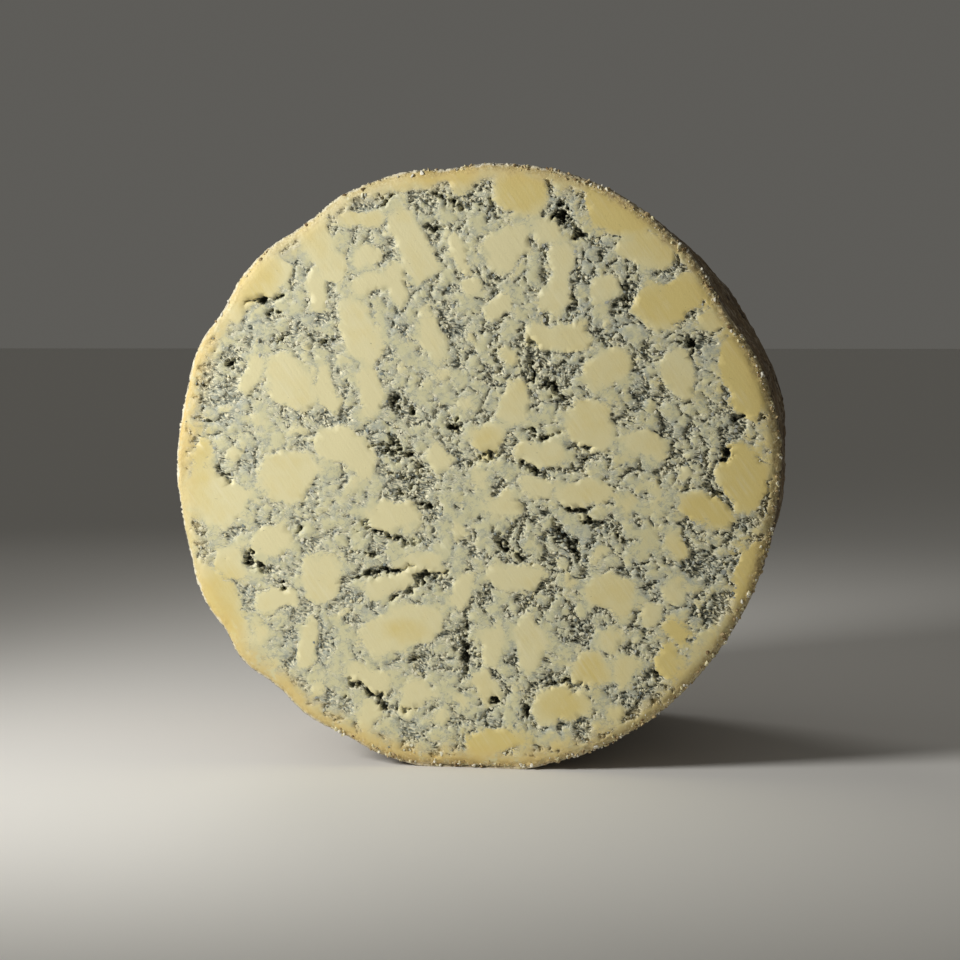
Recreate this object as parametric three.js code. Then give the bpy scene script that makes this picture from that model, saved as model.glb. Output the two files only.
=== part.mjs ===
// Half drum of natural-rind blue cheese, standing on its rim with the round cut face towards -Y.
// Millimetres, +Z up. The origin is under the middle of the piece, on the flat it rests on.
// The cut face is one relief: flat curd nuggets, crumbly veins sunk between them, cracks and holes.
// Places on the face are x and z as seen from in front, measured from the reading point below.

import * as THREE from 'three';

// Driving dimensions
const drumRadius = 101;
const drumLength = 140;
const axisHeight = 99.4; // the drum's axis over the flat it rests on
const readingPoint = { x: 2.8, z: 1.3 }; // right of and above the drum's axis
const shoulderRadius = 14; // rounding between the side and the uncut end
const cutEdgeChip = 1.2; // how far the cut edge has crumbled back
const rindRelief = 1.3; // bumps of the side
const endRelief = 2.2; // hollows of the uncut end
const outlineKept = 0.35; // share of the outline's dents that reaches the uncut end
const rindBumpLength = 17;
const endHollowLength = 34;

const curdRelief = 0.25; // unevenness of the cut nuggets
const veinDepth = 1.3; // the veins behind the curd, on average
const curdEdge = 0.8; // width of the slope from a nugget down to a vein
const squareness = 2.5; // 2 is an oval nugget, more is squarer
const wander = 1.4; // how far a nugget's edge strays from its even shape
const wanderLength = 8;
const holeFloor = 0.55; // a hole's floor, as a share of its width

// Point spacing
const outlinePoints = 176;
const sidePoints = 112;
const sideRows = 9;
const shoulderRows = 4;
const endRings = 4;
const fillStep = 5.4;
const fillGap = 2.5;
const featureGap = 0.6;
const crackStep = 2.8;
const ovalSides = 8; // the least on a nugget
const holeSides = 12;

// Dents and bulges of the outline: angle from +X in degrees, height, half width in degrees.
const outlineWaves = [
  [6, 1.2, 16], [32, -2.4, 14], [66, 1.6, 26], [95, -1.4, 9], [125, -1.9, 11], [148, -1.4, 7],
  [158, 0.8, 8], [205, 1.4, 10], [219, 1.4, 7], [229, -1.3, 7], [245, -1, 8], [300, 0.7, 22],
];

// Large curd nuggets: x, z, half length, half width, tilt in degrees.
const nuggets = [
  // upper left
  [-76, 60, 14, 7.5, 40], [-55, 58, 7.5, 4, 100], [-52, 70, 13, 5, 120], [-41, 80.5, 9, 3.8, 5],
  [-37, 69, 5.5, 3.8, 10], [-36, 59.5, 7, 4, 15], [-40, 44, 12, 5.5, 125], [-64, 28.5, 11, 7.5, 125],
  [-77, 31, 6.5, 4, 75], [-51, 24, 8, 3.5, 115],
  // top
  [-27, 59.5, 8, 4.2, 100], [-23, 73, 13, 6, 120], [-16, 42.5, 8.5, 4.8, 95], [14, 88.5, 9, 7, -10],
  [22, 78, 5, 5, 80], [8.5, 71, 8, 7, 60], [27, 67, 7.5, 4, 100], [25, 56.5, 7.5, 5.5, 70],
  [6, 53, 5.5, 4.5, 45], [-23, 93, 8, 3.4, 5],
  // upper right
  [62, 53.5, 13, 6.8, 28], [45, 84, 13, 7, -28], [55, 69.5, 9, 5.5, -35], [41, 56.5, 6, 4.5, 20],
  [43, 32.5, 8, 6.2, 15], [65, 30, 7, 5, 85], [86, 29, 15, 6.5, 100], [77, 55, 6.5, 3.2, 120],
  // middle
  [-37, 26, 9, 4, 95], [-44, 5, 12, 7.5, 150], [-65, -4.5, 10, 9, 80], [-90, -11, 13, 8, 150],
  [-13, 2, 6.5, 5.5, 130], [3, 8, 6, 6, 60], [12, 21, 8, 6, 70], [20, 4.5, 8, 4, 10],
  [37, 14, 10, 8, 100], [55, 7, 7.5, 4.6, 8], [86, -2, 12, 7, 100], [35, -8, 8.5, 4.8, 0],
  [75, -13.5, 9.5, 5.5, -35], [-28, -17, 10, 6.5, 10], [8, -13, 6.5, 4.5, 15],
  // lower left
  [-54, -38, 9.5, 7.5, 100], [-69, -45, 7, 5, 10], [-75, -56, 5.8, 3.5, 95], [-88, -48, 15, 6, 115],
  [-84, -33, 7, 5.5, 110], [-58.5, -58, 9, 3.2, 88], [-25, -55, 15, 7.5, 12], [-37, -71.5, 8.5, 4.8, -8],
  [-20.5, -33.5, 9, 4.2, 5], [-30, -40.5, 9, 3.5, 20], [-22, -77, 8, 3.8, 75],
  // lower right
  [44, -41.5, 8, 6, -12], [27, -78, 9, 7, 0], [37, -67, 6.5, 6, 100], [17, -57, 10, 4.8, 92],
  [4.5, -60, 8.5, 4.3, 88], [12, -36.5, 9.5, 5.5, 0], [1.5, -74, 7.5, 4.5, 110], [62, -64, 5.5, 4, 85],
  [66, -26, 6.5, 3.5, -45], [4, -90.5, 10, 4.5, 10],
];

// Cracks: half width and depth, then the points that the line runs through.
const cracks = [
  [0.9, 4, [-78, 52], [-73, 54.5], [-68, 56]],
  [0.8, 3.5, [-70, 42.5], [-67, 41.5], [-63, 44]],
  [0.9, 4, [-22, 88.3], [-12, 88.5], [-7, 87.5], [-3, 85]],
  [0.8, 4, [-18, 78], [-15, 79], [-12, 78]],
  [1, 4, [31, 79], [33, 76], [38, 73.5]],
  [1, 5, [21, 30], [25, 26], [29, 20]],
  [1, 4, [15, 11], [21, 12], [28, 11]],
  [0.9, 3.5, [14, 1.5], [18, -0.5], [22, -2]],
  [0.9, 3, [31, 8], [34, 6], [39, 6]],
  [1, 4.5, [26, -12], [33, -13], [40, -18], [50, -24]],
  [1.3, 5, [22, -18], [27, -23.5], [31, -28], [34, -33]],
  [1.1, 4.5, [5, -22.5], [10, -26], [16, -30.5]],
  [1, 4, [-41, -19], [-35, -22], [-28, -24.5], [-19, -25.5]],
  [1.3, 5, [-44, -39], [-36, -36.5], [-28, -34.5], [-24, -34]],
  [1.3, 5, [-22, -37], [-17, -36.5], [-11, -32]],
  [1, 4, [-30, -45.5], [-25, -43], [-20, -39]],
  [1, 5, [-45, -72.5], [-39, -75], [-31, -76.5]],
  [1.2, 5, [-3.5, -49], [-5, -60], [-6.5, -70]],
  [1, 4, [20, -72], [26, -70], [35, -72]],
];

// Holes: x, z, half length, half width, tilt in degrees, depth.
const holes = [
  [27, 82, 5.5, 3.2, 110, 6], [17.5, 33, 4.5, 2, 85, 6], [-69, 50.5, 2.4, 1.5, 50, 5],
  [-83.5, 34.5, 2.2, 2, 0, 4], [-28, 20, 3, 2, 110, 5], [-22.5, 19, 3.2, 1.8, 110, 5],
  [-26, 5, 3.6, 1.4, -8, 5], [-8, 15, 3, 2.4, 120, 5], [68, 38.5, 3.6, 2.4, -30, 6],
  [81, 5.5, 3.4, 2.6, -50, 5], [83.5, 15, 2.6, 1.6, 60, 4], [48, 54, 5.5, 3, 60, 3.5],
  [36.5, 1.5, 2.6, 1.8, 20, 4], [-77, -31.5, 3, 1.9, -50, 6], [-72, -34.5, 4, 1.8, -20, 4],
  [-68, -40, 1.4, 2.4, 0, 4], [-16, -12.5, 3.4, 1.8, -30, 5], [3.5, -78.5, 2.4, 1.8, -30, 5],
  [16, -80.5, 3.4, 1.8, -40, 5], [-20, -65.5, 3, 1.6, 15, 4], [-46, -77.5, 2.6, 1.5, 70, 5],
  [58, -68, 3, 1.6, -45, 4], [-60, -21, 1.6, 2, 0, 4], [-33, -80, 1.8, 3, 10, 4],
];

// Smaller nuggets fill what is left, one to a cell of this size.
const smallCell = 10.5;
const smallLeast = 2.2;
const smallMost = 3.9;
const smallSlimness = 0.72;
const smallGap = 1.6;

// Seeded noise, the same for the same place and seed.
const hashSteps = [127.1, 311.7, 74.7];
const hashScale = 43758.5453;
const fract = (value) => value - Math.floor(value);
const smooth = (t) => t * t * (3 - 2 * t);
const mix = (a, b, t) => a + (b - a) * t;

function draw(i, j, seed) {
  const phase = i * hashSteps[0] + j * hashSteps[1] + seed * hashSteps[2];
  return fract(Math.sin(phase) * hashScale);
}

function noise(x, z, seed) {
  const i = Math.floor(x);
  const j = Math.floor(z);
  const u = smooth(x - i);
  const v = smooth(z - j);
  const low = mix(draw(i, j, seed), draw(i + 1, j, seed), u);
  const high = mix(draw(i, j + 1, seed), draw(i + 1, j + 1, seed), u);
  return mix(low, high, v);
}

const seeds = {
  wanderX: 1, wanderZ: 2, curd: 3, vein: 4, chip: 5, rind: 6, end: 7, fill: 8, small: 9, turn: 10,
};
const endHollow = (x, z) => endRelief * noise(x / endHollowLength, z / endHollowLength, seeds.end);

function outlineRadius(degrees, kept = 1) {
  let radius = drumRadius;
  for (const [at, height, halfWidth] of outlineWaves) {
    const away = Math.abs(THREE.MathUtils.euclideanModulo(degrees - at + 180, 360) - 180);
    if (away < halfWidth) radius += (kept * height * (1 + Math.cos((Math.PI * away) / halfWidth))) / 2;
  }
  return radius;
}

// How far inside the outline a place lies.
function insideOutline(x, z) {
  const degrees = THREE.MathUtils.radToDeg(Math.atan2(z, x));
  return Math.min(outlineRadius(degrees) - Math.hypot(x, z), z + axisHeight);
}

function strayed(x, z) {
  return {
    x: x + wander * (2 * noise(x / wanderLength, z / wanderLength, seeds.wanderX) - 1),
    z: z + wander * (2 * noise(x / wanderLength, z / wanderLength, seeds.wanderZ) - 1),
  };
}

// A nugget or a hole as an oval, with its middle moved from the reading point to the drum's axis.
function oval([x, z, halfLength, halfWidth, tilt, depth]) {
  const turn = THREE.MathUtils.degToRad(tilt);
  return {
    x: x + readingPoint.x,
    z: z + readingPoint.z,
    halfLength,
    halfWidth,
    depth,
    cos: Math.cos(turn),
    sin: Math.sin(turn),
  };
}

const squaredLength = (u, v) => (Math.abs(u) ** squareness + Math.abs(v) ** squareness) ** (1 / squareness);

// 1 on an oval's edge, less inside it.
function ovalReach(shape, x, z) {
  const along = (x - shape.x) * shape.cos + (z - shape.z) * shape.sin;
  const across = (z - shape.z) * shape.cos - (x - shape.x) * shape.sin;
  return squaredLength(along / shape.halfLength, across / shape.halfWidth);
}

// Points round an oval, grown outwards by a width in mm.
function ovalRing(shape, count, grow, scale = 1) {
  const ring = [];
  for (let k = 0; k < count; k += 1) {
    const angle = (2 * Math.PI * k) / count;
    const reach = scale / squaredLength(Math.cos(angle), Math.sin(angle));
    const along = Math.cos(angle) * (reach * shape.halfLength + grow);
    const across = Math.sin(angle) * (reach * shape.halfWidth + grow);
    const even = {
      x: shape.x + along * shape.cos - across * shape.sin,
      z: shape.z + along * shape.sin + across * shape.cos,
    };
    ring.push(strayed(even.x, even.z));
  }
  return ring;
}

const holeShapes = holes.map(oval);
const largeShapes = nuggets.map(oval);
const crackLines = cracks.map(([halfWidth, depth, ...stops]) => {
  const bends = stops.map(([x, z]) => new THREE.Vector2(x + readingPoint.x, z + readingPoint.z));
  const curve = new THREE.SplineCurve(bends);
  const steps = Math.max(3, Math.round(curve.getLength() / crackStep));
  return { halfWidth, depth, curve, points: curve.getSpacedPoints(steps) };
});

function nearCrack(x, z, margin) {
  const place = new THREE.Vector2(x, z);
  return crackLines.some((line) => line.points.some((p) => p.distanceTo(place) < line.halfWidth + margin));
}

function inAny(shapes, x, z, reach, skipped) {
  return shapes.some((shape) => shape !== skipped && ovalReach(shape, x, z) < reach);
}

const takenShapes = [...largeShapes, ...holeShapes];

// One small nugget for each cell that no larger feature takes.
function smallShapes() {
  const shapes = [];
  const cells = Math.ceil(drumRadius / smallCell);
  for (let i = -cells; i <= cells; i += 1) {
    for (let j = -cells; j <= cells; j += 1) {
      const x = (i + draw(i, j, seeds.small)) * smallCell;
      const z = (j + draw(j, i, seeds.small)) * smallCell;
      const size = mix(smallLeast, smallMost, draw(i + j, i - j, seeds.small));
      const tilt = 360 * draw(i, j, seeds.turn);
      const shape = oval([x - readingPoint.x, z - readingPoint.z, size, size * smallSlimness, tilt]);
      const apart = ovalRing(shape, ovalSides, smallGap).every((p) => !inAny(takenShapes, p.x, p.z, 1));
      const clear = insideOutline(x, z) > size + smallGap && !nearCrack(x, z, size);
      if (apart && clear) shapes.push(shape);
    }
  }
  return shapes;
}

const curdShapes = [...largeShapes, ...smallShapes()];
const curdLevel = (x, z) => curdRelief * noise(x / wanderLength, z / wanderLength, seeds.curd);
const veinLevel = (x, z) => veinDepth * (0.5 + noise(x / wanderLength, z / wanderLength, seeds.vein));
const faceLevel = (x, z) => (inAny(curdShapes, x, z, 1) ? curdLevel(x, z) : veinLevel(x, z));

// The face's points: x, depth behind the cut as y, z. A point too near an earlier one is left out.
function facePoints(outline) {
  const points = [...outline];
  const add = (x, y, z, gap) => {
    if (insideOutline(x, z) < gap + featureGap) return;
    if (points.every((p) => Math.hypot(p.x - x, p.z - z) >= gap)) points.push(new THREE.Vector3(x, y, z));
  };
  for (const line of crackLines) {
    const last = line.points.length - 1;
    line.points.forEach((p, k) => {
      const opening = Math.sin((Math.PI * (k + 0.5)) / (last + 1)); // least at the crack's ends
      const tangent = line.curve.getTangentAt(k / last);
      const reach = line.halfWidth * mix(0.4, 1, opening);
      add(p.x, line.depth * opening, p.y, featureGap);
      add(p.x - tangent.y * reach, faceLevel(p.x, p.y), p.y + tangent.x * reach, featureGap);
      add(p.x + tangent.y * reach, faceLevel(p.x, p.y), p.y - tangent.x * reach, featureGap);
    });
  }
  for (const shape of holeShapes) {
    add(shape.x, shape.depth, shape.z, featureGap);
    for (const p of ovalRing(shape, holeSides / 2, 0, holeFloor)) {
      add(p.x, shape.depth * mix(holeFloor, 1, noise(p.x, p.z, seeds.vein)), p.z, featureGap);
    }
    for (const p of ovalRing(shape, holeSides, 0)) {
      add(p.x, veinLevel(p.x, p.z) / 2, p.z, featureGap);
    }
  }
  const clear = (p) => !nearCrack(p.x, p.z, featureGap) && !inAny(holeShapes, p.x, p.z, 1.1);
  for (const shape of curdShapes) {
    const count = Math.max(ovalSides, Math.round(shape.halfLength + shape.halfWidth));
    const apart = (p) => clear(p) && !inAny(curdShapes, p.x, p.z, 1, shape);
    const brink = ovalRing(shape, count, 0).filter(apart);
    const foot = ovalRing(shape, count, curdEdge).filter(apart);
    brink.forEach((p) => add(p.x, curdLevel(p.x, p.z), p.z, featureGap));
    foot.forEach((p) => add(p.x, veinLevel(p.x, p.z), p.z, featureGap));
    if (clear(shape)) add(shape.x, 0, shape.z, fillGap);
  }
  const rows = Math.ceil(drumRadius / fillStep);
  for (let i = -rows; i <= rows; i += 1) {
    for (let j = -rows; j <= rows; j += 1) {
      const x = (i + draw(i, j, seeds.fill)) * fillStep;
      const z = (j + draw(j, i, seeds.fill)) * fillStep;
      if (clear({ x, z })) add(x, faceLevel(x, z), z, fillGap);
    }
  }
  return points;
}

// Delaunay triangles of points in x and z, by adding one point at a time.
function triangulate(points) {
  const far = 30 * drumRadius;
  const all = [...points, { x: -far, z: -far }, { x: far, z: -far }, { x: 0, z: far }];
  const circled = (a, b, c) => {
    const [bx, bz] = [all[b].x - all[a].x, all[b].z - all[a].z];
    const [cx, cz] = [all[c].x - all[a].x, all[c].z - all[a].z];
    const twice = 2 * (bx * cz - bz * cx);
    const x = (cz * (bx * bx + bz * bz) - bz * (cx * cx + cz * cz)) / twice;
    const z = (bx * (cx * cx + cz * cz) - cx * (bx * bx + bz * bz)) / twice;
    const ordered = twice > 0 ? [a, b, c] : [a, c, b];
    return { corners: ordered, x: x + all[a].x, z: z + all[a].z, reach: Math.hypot(x, z) };
  };
  let triangles = [circled(points.length, points.length + 1, points.length + 2)];
  points.forEach((point, index) => {
    const kept = [];
    const open = new Map();
    for (const triangle of triangles) {
      if (Math.hypot(point.x - triangle.x, point.z - triangle.z) >= triangle.reach) {
        kept.push(triangle);
        continue;
      }
      triangle.corners.forEach((from, k) => {
        const to = triangle.corners[(k + 1) % 3];
        const key = `${Math.min(from, to)} ${Math.max(from, to)}`;
        if (!open.delete(key)) open.set(key, [from, to]);
      });
    }
    for (const [from, to] of open.values()) kept.push(circled(from, to, index));
    triangles = kept;
  });
  return triangles.map((t) => t.corners).filter((t) => Math.max(...t) < points.length);
}

function insideLoop(x, z, loop) {
  let inside = false;
  loop.forEach((p, k) => {
    const q = loop[(k + 1) % loop.length];
    if (p.z > z !== q.z > z && x < p.x + ((q.x - p.x) * (z - p.z)) / (q.z - p.z)) inside = !inside;
  });
  return inside;
}

// One ring round the drum at a depth, drawn in from the outline by an inset.
function ring(count, depthAt, inset, relief) {
  const points = [];
  for (let k = 0; k < count; k += 1) {
    const angle = (2 * Math.PI * k) / count;
    const around = drumRadius * Math.sin(angle);
    const across = drumRadius * Math.cos(angle);
    const y = depthAt(around, across);
    const bump = 2 * noise((across + y) / rindBumpLength, (around - y) / rindBumpLength, seeds.rind) - 1;
    const kept = mix(1, outlineKept, Math.min(1, y / drumLength));
    const radius = outlineRadius(THREE.MathUtils.radToDeg(angle), kept) - inset + relief * bump;
    const z = Math.max(radius * Math.sin(angle), -axisHeight);
    points.push(new THREE.Vector3(radius * Math.cos(angle), y, z));
  }
  return points;
}

// The drum's rings behind the cut edge: down the side, round the shoulder and over the uncut end.
function backRings() {
  const rings = [];
  const sideLength = drumLength - shoulderRadius;
  for (let row = 1; row <= sideRows; row += 1) {
    const y = mix(2 * cutEdgeChip, sideLength, (row - 1) / (sideRows - 1));
    rings.push(ring(sidePoints, () => y, 0, rindRelief * Math.min(1, (row - 1) / 2)));
  }
  for (let row = 1; row <= shoulderRows; row += 1) {
    const angle = (Math.PI / 2) * (row / shoulderRows);
    const y = sideLength + shoulderRadius * Math.sin(angle);
    const inset = shoulderRadius * (1 - Math.cos(angle));
    const count = row < shoulderRows ? sidePoints : sidePoints / 2;
    const depthAt = (z, x) => y - (row / shoulderRows) * endHollow(x, z);
    rings.push(ring(count, depthAt, inset, rindRelief * Math.cos(angle)));
  }
  for (let step = 1; step < endRings; step += 1) {
    const share = 1 - step / endRings;
    const inset = drumRadius - (drumRadius - shoulderRadius) * share;
    const count = Math.round((sidePoints / 2) * share);
    rings.push(ring(count, (z, x) => drumLength - endHollow(x * share, z * share), inset, 0));
  }
  return rings;
}

// The whole solid as one closed mesh.
function cheeseGeometry() {
  const chip = (z, x) => cutEdgeChip * noise(x / rindBumpLength, z / rindBumpLength, seeds.chip);
  const outline = ring(outlinePoints, chip, 0, 0);
  const points = facePoints(outline);
  const faces = triangulate(points).filter((t) => {
    const middle = t.reduce((sum, k) => sum.add(points[k]), new THREE.Vector3()).divideScalar(3);
    return insideLoop(middle.x, middle.z, outline);
  });

  let front = outline.map((_, k) => k);
  for (const next of backRings()) {
    const back = next.map((_, k) => points.length + k);
    points.push(...next);
    let [i, j] = [0, 0];
    while (i < front.length || j < back.length) {
      const [a, b] = [front[i % front.length], back[j % back.length]];
      const frontIsBehind = (i + 0.5) * back.length <= (j + 0.5) * front.length;
      if (j === back.length || (i < front.length && frontIsBehind)) {
        i += 1;
        faces.push([a, b, front[i % front.length]]);
      } else {
        j += 1;
        faces.push([a, b, back[j % back.length]]);
      }
    }
    front = back;
  }
  const end = points.length;
  points.push(new THREE.Vector3(0, drumLength - endHollow(0, 0), 0));
  front.forEach((a, k) => faces.push([a, end, front[(k + 1) % front.length]]));

  const geometry = new THREE.BufferGeometry().setFromPoints(points);
  geometry.setIndex(faces.flat());
  geometry.computeBoundingBox();
  const { min, max } = geometry.boundingBox;
  geometry.translate(-(min.x + max.x) / 2, -(min.y + max.y) / 2, -min.z);
  geometry.computeVertexNormals();
  return geometry;
}

const cheeseMaterial = new THREE.MeshStandardMaterial({ color: 0xd6cb9a, roughness: 0.75, metalness: 0 });
cheeseMaterial.flatShading = true;

const cheese = new THREE.Mesh(cheeseGeometry(), cheeseMaterial);
cheese.name = 'blue_cheese_half_drum';

const part = new THREE.Group();
part.add(cheese);

export default part;
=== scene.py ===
# Half drum of natural-rind blue cheese: the cut face with its curd nuggets and crumbly veins,
# the rind round it, and the loose crumbs that lie in the veins and along the cut edge.
# Shapes are worked out in millimetres about the drum's axis: x to the right, y behind the cut, z up.

import math

import bpy
import numpy as np
from mathutils import Euler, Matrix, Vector


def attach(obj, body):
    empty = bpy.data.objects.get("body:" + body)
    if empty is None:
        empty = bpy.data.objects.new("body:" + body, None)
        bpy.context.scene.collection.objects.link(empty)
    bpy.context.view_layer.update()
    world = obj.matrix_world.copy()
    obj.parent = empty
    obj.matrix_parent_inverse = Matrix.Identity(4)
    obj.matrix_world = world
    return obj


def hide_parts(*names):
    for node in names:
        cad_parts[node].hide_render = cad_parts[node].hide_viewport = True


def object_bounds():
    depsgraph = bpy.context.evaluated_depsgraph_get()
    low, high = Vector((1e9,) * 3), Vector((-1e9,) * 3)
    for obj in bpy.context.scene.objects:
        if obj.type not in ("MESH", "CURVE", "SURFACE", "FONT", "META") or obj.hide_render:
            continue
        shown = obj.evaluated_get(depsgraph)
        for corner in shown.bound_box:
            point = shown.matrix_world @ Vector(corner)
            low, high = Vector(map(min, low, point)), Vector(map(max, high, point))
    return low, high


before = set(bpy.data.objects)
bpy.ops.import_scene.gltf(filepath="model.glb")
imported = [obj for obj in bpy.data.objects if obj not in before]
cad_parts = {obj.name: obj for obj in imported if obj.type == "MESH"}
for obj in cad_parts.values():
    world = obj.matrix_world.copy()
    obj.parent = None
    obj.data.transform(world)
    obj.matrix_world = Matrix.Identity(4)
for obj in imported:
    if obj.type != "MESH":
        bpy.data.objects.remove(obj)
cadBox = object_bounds()
node = "blue_cheese_half_drum"
mm = 0.001
print("stage: frame loaded")

# The drum and the dents of its outline: angle from the right in degrees, height, half width in degrees.
drum = {
    "radius": 101, "length": 140, "axisHeight": 99.4, "shoulder": 14, "outlineKept": 0.35,
    "edgeChip": 1.2, "sideBump": 1.3, "bumpLength": 17, "endHollow": 2.2, "hollowLength": 34,
    "readX": 2.8, "readZ": 1.3,  # from the x and z of the rows below to the axis
    "flatLift": 0.01,
}
outlineWaves = [
    (6, 1.2, 16), (32, -2.4, 14), (66, 1.6, 26), (95, -1.4, 9), (125, -1.9, 11), (148, -1.4, 7),
    (158, 0.8, 8), (205, 1.4, 10), (219, 1.4, 7), (229, -1.3, 7), (245, -1, 8), (300, 0.7, 22),
]

# Curd nuggets: x, z, half length, half width, tilt in degrees.
nuggets = [
    # upper left
    (-76, 60, 14, 7.5, 40), (-55, 58, 7.5, 4, 100), (-52, 70, 13, 5, 120), (-41, 80.5, 9, 3.8, 5),
    (-37, 69, 5.5, 3.8, 10), (-36, 59.5, 7, 4, 15), (-40, 44, 12, 5.5, 125), (-64, 28.5, 11, 7.5, 125),
    (-77, 31, 6.5, 4, 75), (-51, 24, 8, 3.5, 115), (-95, 4, 5, 4, 60), (-83, 5, 4, 2.5, 30),
    # top
    (-27, 59.5, 8, 4.2, 100), (-23, 73, 13, 6, 120), (-16, 42.5, 8.5, 4.8, 95), (14, 88.5, 9, 7, -10),
    (22, 78, 5, 5, 80), (8.5, 71, 8, 7, 60), (27, 67, 7.5, 4, 100), (25, 56.5, 7.5, 5.5, 70),
    (6, 53, 5.5, 4.5, 45), (-23, 93, 8, 3.4, 5), (-3, 60, 4.5, 4, 30), (-7, 70, 7.5, 3.2, 110),
    (-5, 93.5, 6, 4, 0),
    # upper right
    (62, 53.5, 13, 6.8, 28), (45, 84, 13, 7, -28), (55, 69.5, 9, 5.5, -35), (41, 56.5, 6, 4.5, 20),
    (43, 32.5, 8, 6.2, 15), (65, 30, 7, 5, 85), (86, 29, 15, 6.5, 100), (77, 55, 6.5, 3.2, 120),
    (76, 48.5, 6, 3, 15), (25, 43, 12, 5, 0),
    # middle
    (-37, 26, 9, 4, 95), (-44, 5, 12, 7.5, 150), (-65, -4.5, 10, 9, 80), (-90, -11, 13, 8, 150),
    (-13, 2, 6.5, 5.5, 130), (3, 8, 6, 6, 60), (12, 21, 8, 6, 70), (20, 4.5, 8, 4, 10),
    (37, 14, 10, 8, 100), (55, 7, 7.5, 4.6, 8), (86, -2, 12, 7, 100), (35, -8, 8.5, 4.8, 0),
    (75, -13.5, 9.5, 5.5, -35), (-28, -17, 10, 6.5, 10), (8, -13, 6.5, 4.5, 15), (20, -6.5, 5.5, 4, 0),
    # lower left
    (-54, -38, 9.5, 7.5, 100), (-69, -45, 7, 5, 10), (-75, -56, 5.8, 3.5, 95), (-88, -48, 15, 6, 115),
    (-84, -33, 7, 5.5, 110), (-58.5, -58, 9, 3.2, 88), (-25, -55, 15, 7.5, 12), (-37, -71.5, 8.5, 4.8, -8),
    (-20.5, -33.5, 9, 4.2, 5), (-30, -40.5, 9, 3.5, 20), (-22, -77, 8, 3.8, 75), (-71, -25, 8, 4.5, 20),
    (-4.5, -41, 6.5, 4, 85), (-38, -84, 7, 4.5, 80), (-14, -84.5, 4, 3, 110),
    # lower right
    (44, -41.5, 8, 6, -12), (27, -78, 9, 7, 0), (37, -67, 6.5, 6, 100), (17, -57, 10, 4.8, 92),
    (4.5, -60, 8.5, 4.3, 88), (12, -36.5, 9.5, 5.5, 0), (1.5, -74, 7.5, 4.5, 110), (62, -64, 5.5, 4, 85),
    (66, -26, 6.5, 3.5, -45), (4, -90.5, 10, 4.5, 10), (65, -54.5, 4.2, 3.5, 0), (44, -56, 5, 3.5, 90),
    (47, -66, 6, 3.5, 85), (64, -41, 5, 4, 0), (57, -49, 5, 4, 40), (88, -33, 9, 4, 75),
]

# Cracks: half width and depth, then the points that the line runs through.
cracks = [
    (0.9, 4, (-78, 52), (-73, 54.5), (-68, 56)), (0.8, 3.5, (-70, 42.5), (-67, 41.5), (-63, 44)),
    (0.9, 4, (-22, 88.3), (-12, 88.5), (-7, 87.5), (-3, 85)), (0.8, 4, (-18, 78), (-15, 79), (-12, 78)),
    (1, 4, (31, 79), (33, 76), (38, 73.5)), (1, 5, (21, 30), (25, 26), (29, 20)),
    (1, 4, (15, 11), (21, 12), (28, 11)), (0.9, 3.5, (14, 1.5), (18, -0.5), (22, -2)),
    (0.9, 3, (31, 8), (34, 6), (39, 6)), (1, 4.5, (26, -12), (33, -13), (40, -18), (50, -24)),
    (1.3, 5, (22, -18), (27, -23.5), (31, -28), (34, -33)), (1.1, 4.5, (5, -22.5), (10, -26), (16, -30.5)),
    (1, 4, (-41, -19), (-35, -22), (-28, -24.5), (-19, -25.5)),
    (1.3, 5, (-44, -39), (-36, -36.5), (-28, -34.5), (-24, -34)),
    (1.3, 5, (-22, -37), (-17, -36.5), (-11, -32)),
    (1, 4, (-30, -45.5), (-25, -43), (-20, -39)), (1, 5, (-45, -72.5), (-39, -75), (-31, -76.5)),
    (1.2, 5, (-3.5, -49), (-5, -60), (-6.5, -70)), (1, 4, (20, -72), (26, -70), (35, -72)),
    (0.6, 2, (-94, 28), (-90, 24)), (0.6, 2, (-99, -18), (-94, -22)), (0.5, 2, (-96, 16), (-91, 14)),
    (0.6, 2, (-89, 0), (-84, -7)), (0.6, 2.5, (74, -4), (81, -11)), (0.5, 2, (-28, -80), (-21, -83)),
    (0.6, 2.5, (-40, -29), (-34, -31)), (0.5, 2, (30, 57), (31, 50)), (0.5, 2, (14, 42), (18, 40)),
    (0.5, 2, (2, 88), (6, 84)),
    (0.7, 3, (-36, 7), (-31, 6), (-27, 2)), (0.7, 3, (-33, -1), (-26, -3), (-20, -6)),
    (0.6, 2.5, (-28, -6), (-22, -9), (-15, -10)), (0.6, 2.5, (-24, 3), (-20, 0), (-17, -4)),
    (0.6, 2.5, (-4, 0), (4, 3), (12, 6)), (0.6, 2.5, (-39, 85), (-33, 88), (-27, 89.5)),
    (0.6, 2.5, (-31, 14), (-29, 8), (-25, 5)), (0.6, 2.5, (-57, 43), (-52, 41), (-48, 42)),
]

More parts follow.
